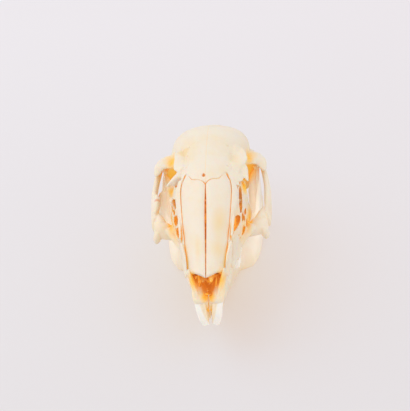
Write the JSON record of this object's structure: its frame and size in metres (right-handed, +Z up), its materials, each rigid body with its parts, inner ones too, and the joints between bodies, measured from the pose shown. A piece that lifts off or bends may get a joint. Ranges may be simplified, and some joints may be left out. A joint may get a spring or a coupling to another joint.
{
  "type": "rabbit skull",
  "caption": "Life-size skull of a rabbit with its lower jaw in place, bleached ivory bone with amber tints, at rest on the lower edge of the jaw",
  "frame": {"origin": "middle of the bounding box in x and y, at the level the lower jaw rests on", "axes": "+Z up, -Y towards the incisors, +Y towards the back of the skull, +X to the animal's left"},
  "size_m": [0.0424, 0.0816, 0.0465],
  "materials": {
    "bone": "dry bleached bone, ivory with amber tints where it is thin",
    "tooth": "smooth pale enamel"
  },
  "bodies": {
    "root": {"nasal_left": "bone", "nasal_right": "bone", "premaxilla_left": "bone", "premaxilla_right": "bone", "maxilla_left": "bone", "maxilla_right": "bone", "jugal_left": "bone", "jugal_right": "bone", "frontal_left": "bone", "frontal_right": "bone", "parietal_left": "bone", "parietal_right": "bone", "temporal_left": "bone", "temporal_right": "bone", "bulla_left": "bone", "bulla_right": "bone", "mandible_left": "bone", "mandible_right": "bone", "occipital": "bone", "skull_base": "bone", "upper_incisor_left": "tooth", "upper_incisor_right": "tooth", "upper_cheek_teeth_left": "tooth", "upper_cheek_teeth_right": "tooth", "lower_cheek_teeth_left": "tooth", "lower_cheek_teeth_right": "tooth", "lower_incisor_left": "tooth", "lower_incisor_right": "tooth"}
  },
  "joints": []
}
